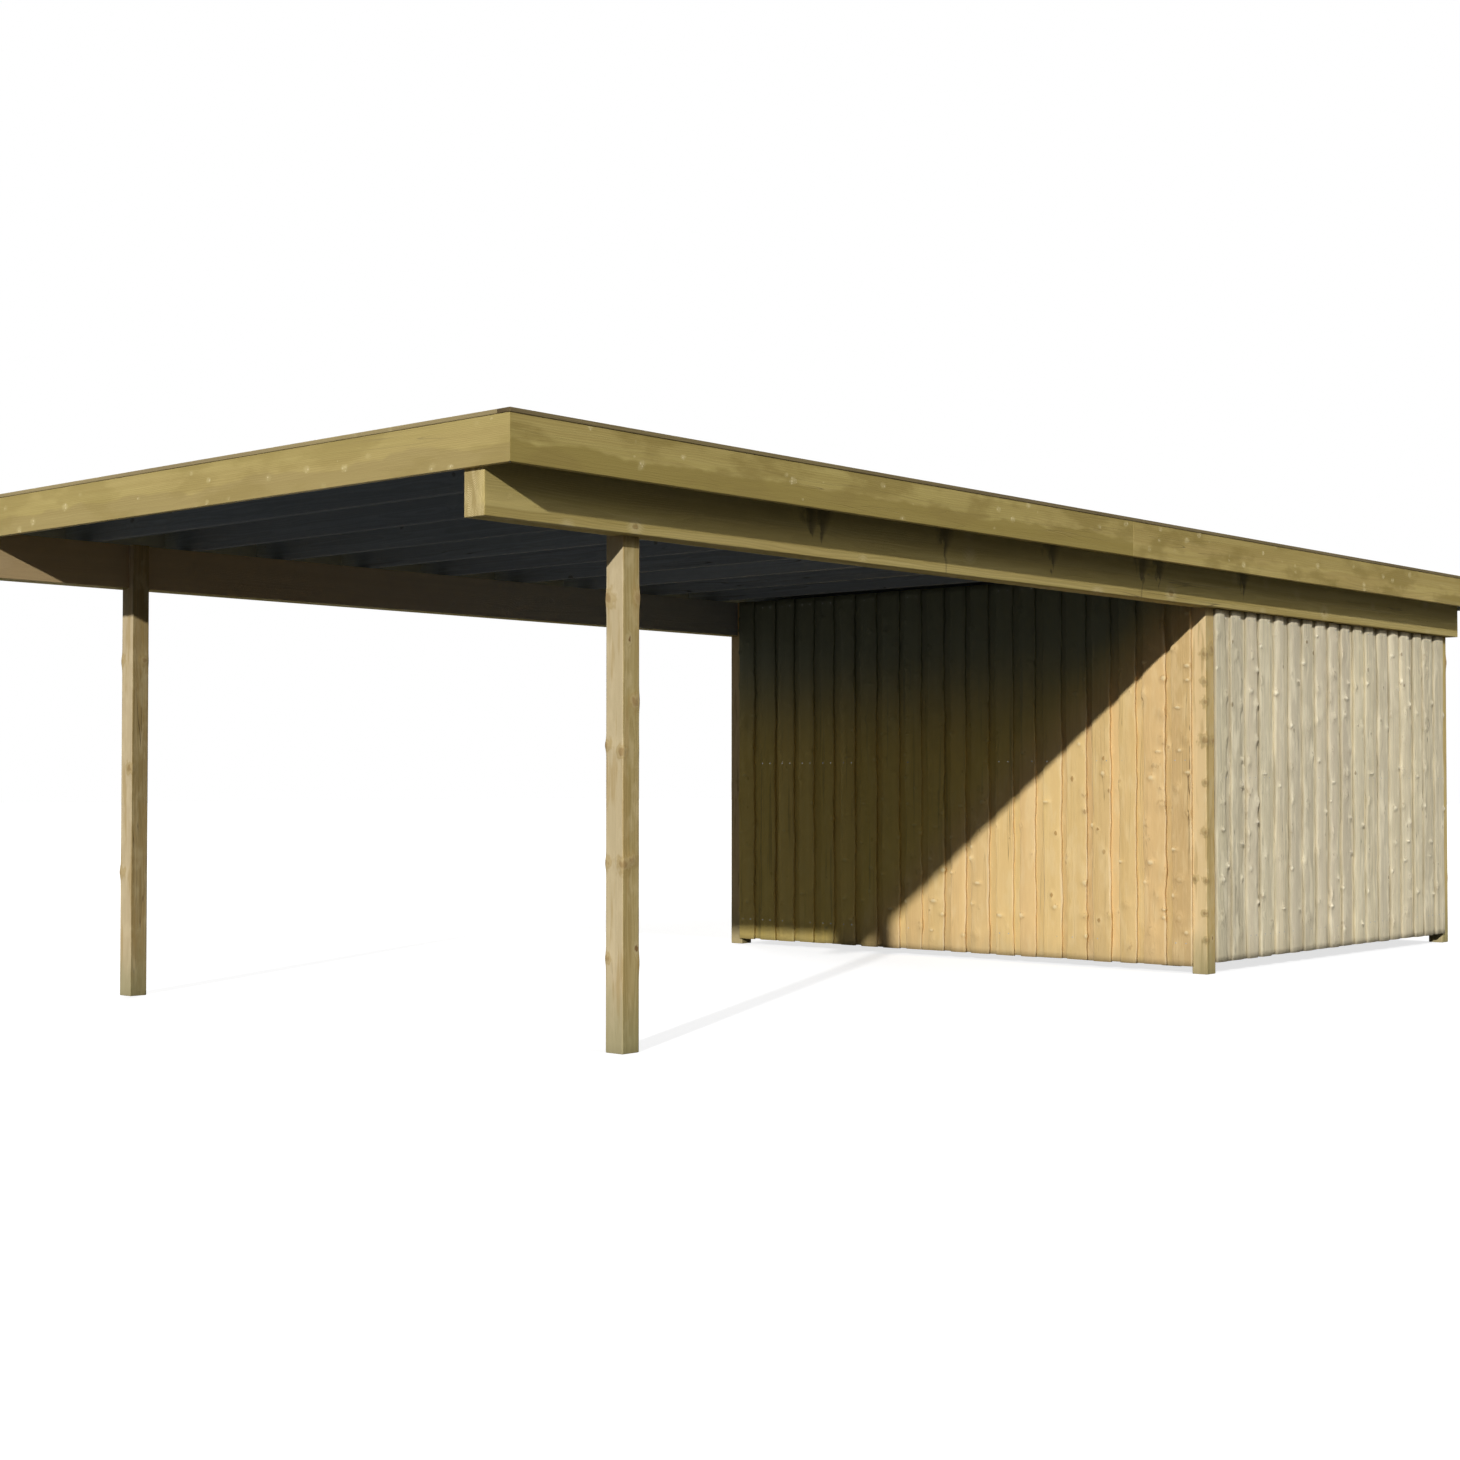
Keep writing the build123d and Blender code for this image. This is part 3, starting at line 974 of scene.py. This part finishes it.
def cladding_finish(name, shades, tones, shares, with_painted_shade):
    """Rough-sawn board timber: bleached patches, dull edges, branch burrs with partly painted highlights,
    painted shade if asked, and rain splash.
    """
    material, tree, colour, seen = timber_colour(name, shades, board_figure, tones, board_hues)
    own_log = own_log_of(tree, board_log_step)
    spot = place(tree, "ShaderNodeNewGeometry").outputs["Position"]
    lot = axes_of(tree, stored(tree, "stick"))["X"]
    colour = tinted(tree, colour, ranged(tree, lot, *blush_lots), blush_share, shades["blush"])
    colour = blotched(tree, colour, own_log, shades["bleach"], shares["bleach"], **bleach)
    burr = stored(tree, "burr", "Fac")
    worn = ranged(tree, noise_of(tree, own_log, edge_stretch), *edge_levels, *edge_shares)
    dull = sum_of(tree, "MULTIPLY_ADD", burr, -shares["burr_clear"], worn)
    dull = sum_of(tree, "MULTIPLY", stored(tree, "board_edge", "Fac"), dull)
    colour = mixed(tree, sum_of(tree, "MAXIMUM", dull, 0.0), colour, shades["edge"])
    ragged = swing_of(tree, spot, burr_ragged)
    ring = sum_of(tree, "MULTIPLY", ranged(tree, burr, *burr_rim), ranged(tree, burr, *burr_heart))
    ring = sum_of(tree, "MULTIPLY", ring, ranged(tree, ragged, *burr_torn))
    colour = tinted(tree, colour, ring, burr_ring_share, shades["knot"])
    # Each branch swell gets a pale crest: partly bare pale wood, partly a painted highlight.
    pale_crest_highlight = sum_of(tree, "MULTIPLY_ADD", ragged, burr_ragged_size, burr)
    colour = tinted(tree, colour, ranged(tree, pale_crest_highlight, *pale_crest_highlight_levels), shares["pale_crest_highlight"], shades["pale_crest_highlight"])
    # Painted shade: olive above the sun's shadow line, dark streaks within it, and darker towards the top.
    if with_painted_shade:
        seat = axes_of(tree, spot)
        shadow_line = sum_of(tree, "MULTIPLY_ADD", seat["X"], -shadow_line_slope, seat["Z"])
        painted_shade = ranged(tree, shadow_line, *shadow_line_blur)
        colour = tinted(tree, colour, painted_shade, painted_shade_share, painted_shade_colour)
        streaks_in_shade = sum_of(tree, "MULTIPLY", patches_of(tree, own_log, **shade_streaks), painted_shade)
        colour = tinted(tree, colour, streaks_in_shade, shade_streak_share, shade_streak_colour)
        painted_dark_top = sum_of(tree, "MULTIPLY", ranged(tree, seat["Z"], *painted_dark_top_levels), painted_shade)
        colour = tinted(tree, colour, painted_dark_top, painted_dark_top_share, painted_dark_top_colour)
    splash = stain_from_ground(tree, spot, splash_reach)
    colour = tinted(tree, colour, splash, splash_share, splash_colour)
    close_timber(tree, colour, seen, board_roughness, board_relief, mound=board_mound)
    return material


golden_board = cladding_finish("sheltered_board_painted_shade", golden_shades, golden_tones, golden_shares, True)
silver_board = cladding_finish("weathered_board", silver_shades, silver_tones, silver_shares, False)


class LiveEdge:
    """One edge of a board that keeps some of the tree's line: slow waves, and wane under the bark."""

    def __init__(self, wane_share, draw):
        self.waves = [(size, length, draw.uniform(0.0, math.tau)) for size, length in edge_waves]
        self.log = Vector((draw.uniform(*log_places), draw.uniform(*log_places), 0.0))
        self.wane = wane_share * draw.random() ** wane_rarity

    def at(self, height):
        """How far the edge strays sideways, and how wide and deep its wane is."""
        side = sum(size * math.sin(height / length * math.tau + turn) for size, length, turn in self.waves)
        bark = bark_cover + noise.noise(self.log + Vector((0.0, 0.0, height * wane_pace)))
        bark = self.wane * min(1.0, max(0.0, bark))
        return side, board_arris + wane_width * bark, board_arris + wane_drop * bark


def branch_knots(start, end, foot, head, pace, draw):
    """Where branches left the log: height, place across, reach up, spread across, swell, bareness, push."""
    knotty = pace[0] + (pace[1] - pace[0]) * draw.random() ** knotty_rarity
    knots = []
    height = foot + draw.uniform(*branch_step)
    while height < head - 2 * swell_reach[1]:
        along = draw.choice((start, end)) if draw.random() < edge_chance else draw.uniform(start, end)
        stub = draw.random() < stub_chance
        reach = draw.uniform(*(stub_reach if stub else swell_reach))
        spread = draw.uniform(*(stub_spread if stub else swell_spread))
        out = draw.uniform(*(stub_out if stub else swell_out))
        bare = 1.0 if stub else swell_bare_share
        knots.append((height, along, reach, spread, out, bare, branch_side * draw.random()))
        height += draw.uniform(*branch_step) / knotty
    return knots


def ring_heights(foot, head, knots):
    """Heights at which a board is cut into rings: an even step, and closer at the branches."""
    steps = round((head - foot) / board_step)
    heights = [foot + (head - foot) * step / steps for step in range(steps + 1)]
    for height, _, reach, *_ in knots:
        heights.extend(height + reach * share for share in branch_rings)
    kept = []
    for height in sorted(heights):
        if not kept or height - kept[-1] > ring_room:
            kept.append(height)
    kept[-1] = head
    return kept


def wane_points(edge, inward, wane, turns):
    """Points round one waney edge: place across, drop, share of edge."""
    points = []
    for turn in turns:
        inset, drop = wane[0] * (1.0 - math.cos(turn)), wane[1] * (1.0 - math.sin(turn))
        points.append((edge + inward * inset, drop, math.cos(turn)))
    return points


def board_outline(left, right, start_wane, end_wane, columns):
    """Points round a board's outer side, from its end edge to its start."""
    face_start, face_end = left + start_wane[0], right - end_wane[0]
    face = [(face_start + (face_end - face_start) * share, 0.0, 0.0) for share in reversed(columns)]
    end_points = wane_points(right, -1, end_wane, wane_turns)
    return end_points + face + wane_points(left, 1, start_wane, reversed(wane_turns))


def live_board(form, spot, limits, edges, faces, foot, head, columns, pace, wane_share, draw):
    """Add one upright board; spot turns its own along, outward and upward places to the frame's."""
    burr_layer = form.verts.layers.float["burr"]
    edge_layer = form.verts.layers.float["board_edge"]
    inner, outer = faces
    outer += draw.uniform(-proud_slack, 0.0)
    crown = draw.uniform(*crown_range)
    log = draw.uniform(*log_places)
    start, end = edges[0] - draw.uniform(*edge_slack), edges[1] + draw.uniform(*edge_slack)
    start_edge, end_edge = LiveEdge(wane_share, draw), LiveEdge(wane_share, draw)
    knots = branch_knots(start, end, foot, head, pace, draw) if pace else []
    rings = []
    for height in ring_heights(foot, head, knots):
        swells = []
        pushes = {start: 0.0, end: 0.0}
        for knot_height, along, reach, spread, out, bare, push in knots:
            nearness = math.exp(-(((height - knot_height) / reach) ** 2))
            if nearness > branch_faint:
                swells.append((along, spread, out * nearness, bare * nearness))
                if along in pushes:
                    pushes[along] += push * nearness
        start_side, *start_wane = start_edge.at(height)
        end_side, *end_wane = end_edge.at(height)
        left = max(limits[0], start - start_side - pushes[start])
        right = min(limits[1], end + end_side + pushes[end])
        if edges[0] - limits[0] < touching:
            left = limits[0] - post_lap
        if limits[1] - edges[1] < touching:
            right = limits[1] + post_lap
        ring = []
        for along in (left, right):
            vert = form.verts.new(spot(along, inner, height))
            vert[edge_layer] = 1.0
            ring.append(vert)
        for along, drop, edge in board_outline(left, right, start_wane, end_wane, columns):
            bowed = 1.0 - ((2.0 * along - left - right) / (right - left)) ** 2
            sawn = Vector((along * hand_sawn_pace[0], height * hand_sawn_pace[1], log))
            lift = crown * bowed + hand_sawn_swell * noise.noise(sawn)
            burr = 0.0
            for knot_along, spread, out, bareness in swells:
                share = math.exp(-(((along - knot_along) / spread) ** 2))
                lift += out * share
                burr = max(burr, bareness * share)
            vert = form.verts.new(spot(along, outer - drop + lift, height))
            vert[burr_layer] = burr
            vert[edge_layer] = edge
            ring.append(vert)
        rings.append(ring)
    count = len(rings[0])
    for below, above in zip(rings, rings[1:]):
        for index in range(count):
            following = (index + 1) % count
            side = form.faces.new((below[index], below[following], above[following], above[index]))
            side.smooth = index > 0
    form.faces.new(rings[0])
    form.faces.new(rings[-1])


def board_places(start, end):
    """Start and end of each outer board from post to post, and of each inner board behind a gap."""
    gaps = round((end - start - board_width) / (board_width + board_gap))
    pitch = (end - start - board_width) / gaps
    outer = [(start + pitch * count, start + pitch * count + board_width) for count in range(gaps + 1)]
    return outer, [(left + pitch / 2, right + pitch / 2) for left, right in outer[:-1]]


walls = {}
wall_ways = (("left", 0, -1), ("right", 0, 1), ("store_front", 1, -1), ("store_rear", 1, 1))
for wall, across_axis, sign in wall_ways:
    low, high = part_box(f"cladding_{wall}")
    walls[wall] = {
        "axis": across_axis,
        "sign": sign,
        "skin": (high[across_axis] - low[across_axis]) / 2,
        "plane": (high[across_axis] + low[across_axis]) / 2,
        "limits": (low[1 - across_axis], high[1 - across_axis]),
        "foot": low.z,
        "head": high.z,
    }


def wall_spot(wall):
    """A function from a wall's own along, outward and upward places to the frame's."""
    axis, plane, sign = walls[wall]["axis"], walls[wall]["plane"], walls[wall]["sign"]

    def spot(along, outward, height):
        across = plane + sign * outward
        return Vector((across, along, height) if axis == 0 else (along, across, height))

    return spot


def clad_wall(wall, material, pace, wane_share, draw):
    """All boards of one wall as one piece, the inner row without knots."""
    own = walls[wall]
    limits, skin = own["limits"], own["skin"]
    form = bmesh.new()
    form.verts.layers.float.new("burr")
    form.verts.layers.float.new("board_edge")
    outer_row, inner_row = board_places(*limits)
    rows = (
        (inner_row, (-skin, 0.0), inner_columns, None),
        (outer_row, (0.0, skin), outer_columns, pace),
    )
    for row, faces, columns, row_pace in rows:
        for edges in row:
            foot = own["foot"] + draw.uniform(-foot_slack, foot_slack)
            head = own["head"] - draw.uniform(0.0, top_slack)
            shape = (limits, edges, faces, foot, head, columns)
            live_board(form, wall_spot(wall), *shape, row_pace, wane_share, draw)
    bmesh.ops.recalc_face_normals(form, faces=form.faces)
    mark_sticks(form, UP, draw)
    stand(form, f"cladding_{wall}_boards", material, "cladding_boards", f"cladding_{wall}")


draw = random.Random(cladding_seed)
for wall in walls:
    if wall == "store_front":
        clad_wall(wall, golden_board, golden_knots, golden_wane, draw)
    else:
        clad_wall(wall, silver_board, silver_knots, silver_wane, draw)

# Nails: zinc-coated round heads, two through each outer board at every rail.
# They stand a little proud, and the zinc has dulled with a touch of rust.
nail_radius = 0.0036
nail_profile = ((1.0, -0.005), (1.0, 0.00048), (0.6, 0.00102))
nail_sides = 10
nail_inset = 0.028
rail_digits = 4
zinc_dull, zinc_bright = (0.30, 0.30, 0.29, 1.0), (0.52, 0.52, 0.51, 1.0)
zinc_levels, zinc_metal = (0.3, 0.6), (0.9, 0.0)
zinc_worn, zinc_roughness = (0.3, 0.7), (0.38, 0.62)
rust_levels = (0.6, 0.72)
rust_colour = (0.22, 0.11, 0.05, 1.0)
nail_stretch = (260.0, 260.0, 260.0)

nail_material, tree = new_material("zinc_nail")
cloud = noise_of(tree, place(tree, "ShaderNodeNewGeometry").outputs["Position"], nail_stretch, detail=3.0)
rusty = ranged(tree, cloud, *rust_levels)
colour = mixed(tree, ranged(tree, cloud, *zinc_levels), zinc_dull, zinc_bright)
close_surface(
    tree,
    {
        "Base Color": mixed(tree, rusty, colour, rust_colour),
        "Metallic": ranged(tree, rusty, 0.0, 1.0, *zinc_metal),
        "Roughness": ranged(tree, cloud, *zinc_worn, *zinc_roughness),
    },
)


def nail_head(form, spot, along, outward, height):
    """Add one domed nail head, standing out of a wall's face."""
    rings = []
    for share, lift in nail_profile:
        ring = []
        for side in range(nail_sides):
            turn = math.tau * side / nail_sides
            left = along + nail_radius * share * math.cos(turn)
            up = height + nail_radius * share * math.sin(turn)
            ring.append(form.verts.new(spot(left, outward + lift, up)))
        rings.append(ring)
    for lower, upper in zip(rings, rings[1:]):
        for side in range(nail_sides):
            following = (side + 1) % nail_sides
            form.faces.new((lower[side], lower[following], upper[following], upper[side]))
    form.faces.new(rings[0])
    form.faces.new(rings[-1])


for wall, own in walls.items():
    rail_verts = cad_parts[f"rails_{wall}"].data.vertices
    rail_levels = sorted({round(vert.co.z, rail_digits) for vert in rail_verts})
    rail_middles = [(low + high) / 2 for low, high in zip(rail_levels[::2], rail_levels[1::2])]
    form = bmesh.new()
    for start, end in board_places(*own["limits"])[0]:
        for height in rail_middles:
            for along in (start + nail_inset, end - nail_inset):
                nail_head(form, wall_spot(wall), along, own["skin"], height)
    bmesh.ops.recalc_face_normals(form, faces=form.faces)
    stand(form, f"nails_{wall}", nail_material, None)

# Floor and light: a pale floor, a low sun from the front right, as outdoors on a clear day,
# and an even sky. To the camera the floor and the sky are white, apart from the shadow.
floor_half = 90.0
floor_glow = 0.74
floor_pale = (0.45, 0.45, 0.45, 1.0)
floor_bounce = (0.06, 0.06, 0.06, 1.0)
sky_strength = 0.18
white = (1.0, 1.0, 1.0, 1.0)
lamps = {
    "low_sun": {"way": (-1.0, 2.08, -0.82), "strength": 3.15, "softness": math.radians(1.0)},
    "soft_fill": {"way": (-1.0, -0.1, -0.9), "strength": 0.8, "softness": math.radians(50.0)},
    "back_light": {"way": (1.0, -0.8, -0.75), "strength": 2.3, "softness": math.radians(40.0)},
}


def seen_directly(tree):
    """One where the camera, a mirror or clear glass looks straight at the surface."""
    path = place(tree, "ShaderNodeLightPath").outputs
    seen = sum_of(tree, "MAXIMUM", path["Is Camera Ray"], path["Is Glossy Ray"])
    return sum_of(tree, "MAXIMUM", seen, path["Is Transmission Ray"])


def either_shader(tree, unseen, seen):
    """One shader for what lights the piece, and another for what is seen directly."""
    inputs = {0: seen_directly(tree), 1: unseen.outputs[0], 2: seen.outputs[0]}
    return place(tree, "ShaderNodeMixShader", inputs).outputs[0]


floor_material, tree = new_material("studio_floor")
pale = place(tree, "ShaderNodeBsdfDiffuse", {"Color": floor_pale})
glow = place(tree, "ShaderNodeEmission", {"Color": white, "Strength": floor_glow})
seen_floor = place(tree, "ShaderNodeAddShader", {0: pale.outputs[0], 1: glow.outputs[0]})
bounce = place(tree, "ShaderNodeBsdfDiffuse", {"Color": floor_bounce})
place(tree, "ShaderNodeOutputMaterial", {"Surface": either_shader(tree, bounce, seen_floor)})

form = bmesh.new()
bmesh.ops.create_grid(form, x_segments=2, y_segments=2, size=floor_half)
mesh = bpy.data.meshes.new("floor")
form.to_mesh(mesh)
form.free()
mesh.materials.append(floor_material)
floor = bpy.data.objects.new("floor", mesh)
bpy.context.scene.collection.objects.link(floor)

world = bpy.data.worlds.new("even_sky")
world.use_nodes = True
tree = world.node_tree
tree.nodes.clear()
sky = place(tree, "ShaderNodeBackground", {"Color": white, "Strength": sky_strength})
backdrop = place(tree, "ShaderNodeBackground", {"Color": white, "Strength": 1.0})
place(tree, "ShaderNodeOutputWorld", {"Surface": either_shader(tree, sky, backdrop)})
bpy.context.scene.world = world

for name, own in lamps.items():
    light = bpy.data.lights.new(name, "SUN")
    light.energy = own["strength"]
    light.angle = own["softness"]
    lamp = bpy.data.objects.new(name, light)
    lamp.rotation_mode = "QUATERNION"
    lamp.rotation_quaternion = Vector(own["way"]).to_track_quat("-Z", "Y")
    bpy.context.scene.collection.objects.link(lamp)

# Camera: at chest height off the front right corner, looking a little upward,
# so that the beam, the underside of the roof and both walls of the store show.
camera_place = (7.8502, -9.8555, 1.0990)
camera_pitch = math.radians(91.4)
camera_turn = math.radians(41.5)
camera_data = bpy.data.cameras.new("camera")
camera_data.lens = 52.54
camera_data.sensor_width = 36.0
camera = bpy.data.objects.new("camera", camera_data)
camera.location = camera_place
camera.rotation_euler = (camera_pitch, 0.0, camera_turn)
bpy.context.scene.collection.objects.link(camera)
bpy.context.scene.camera = camera
bpy.context.scene.view_settings.view_transform = "Standard"
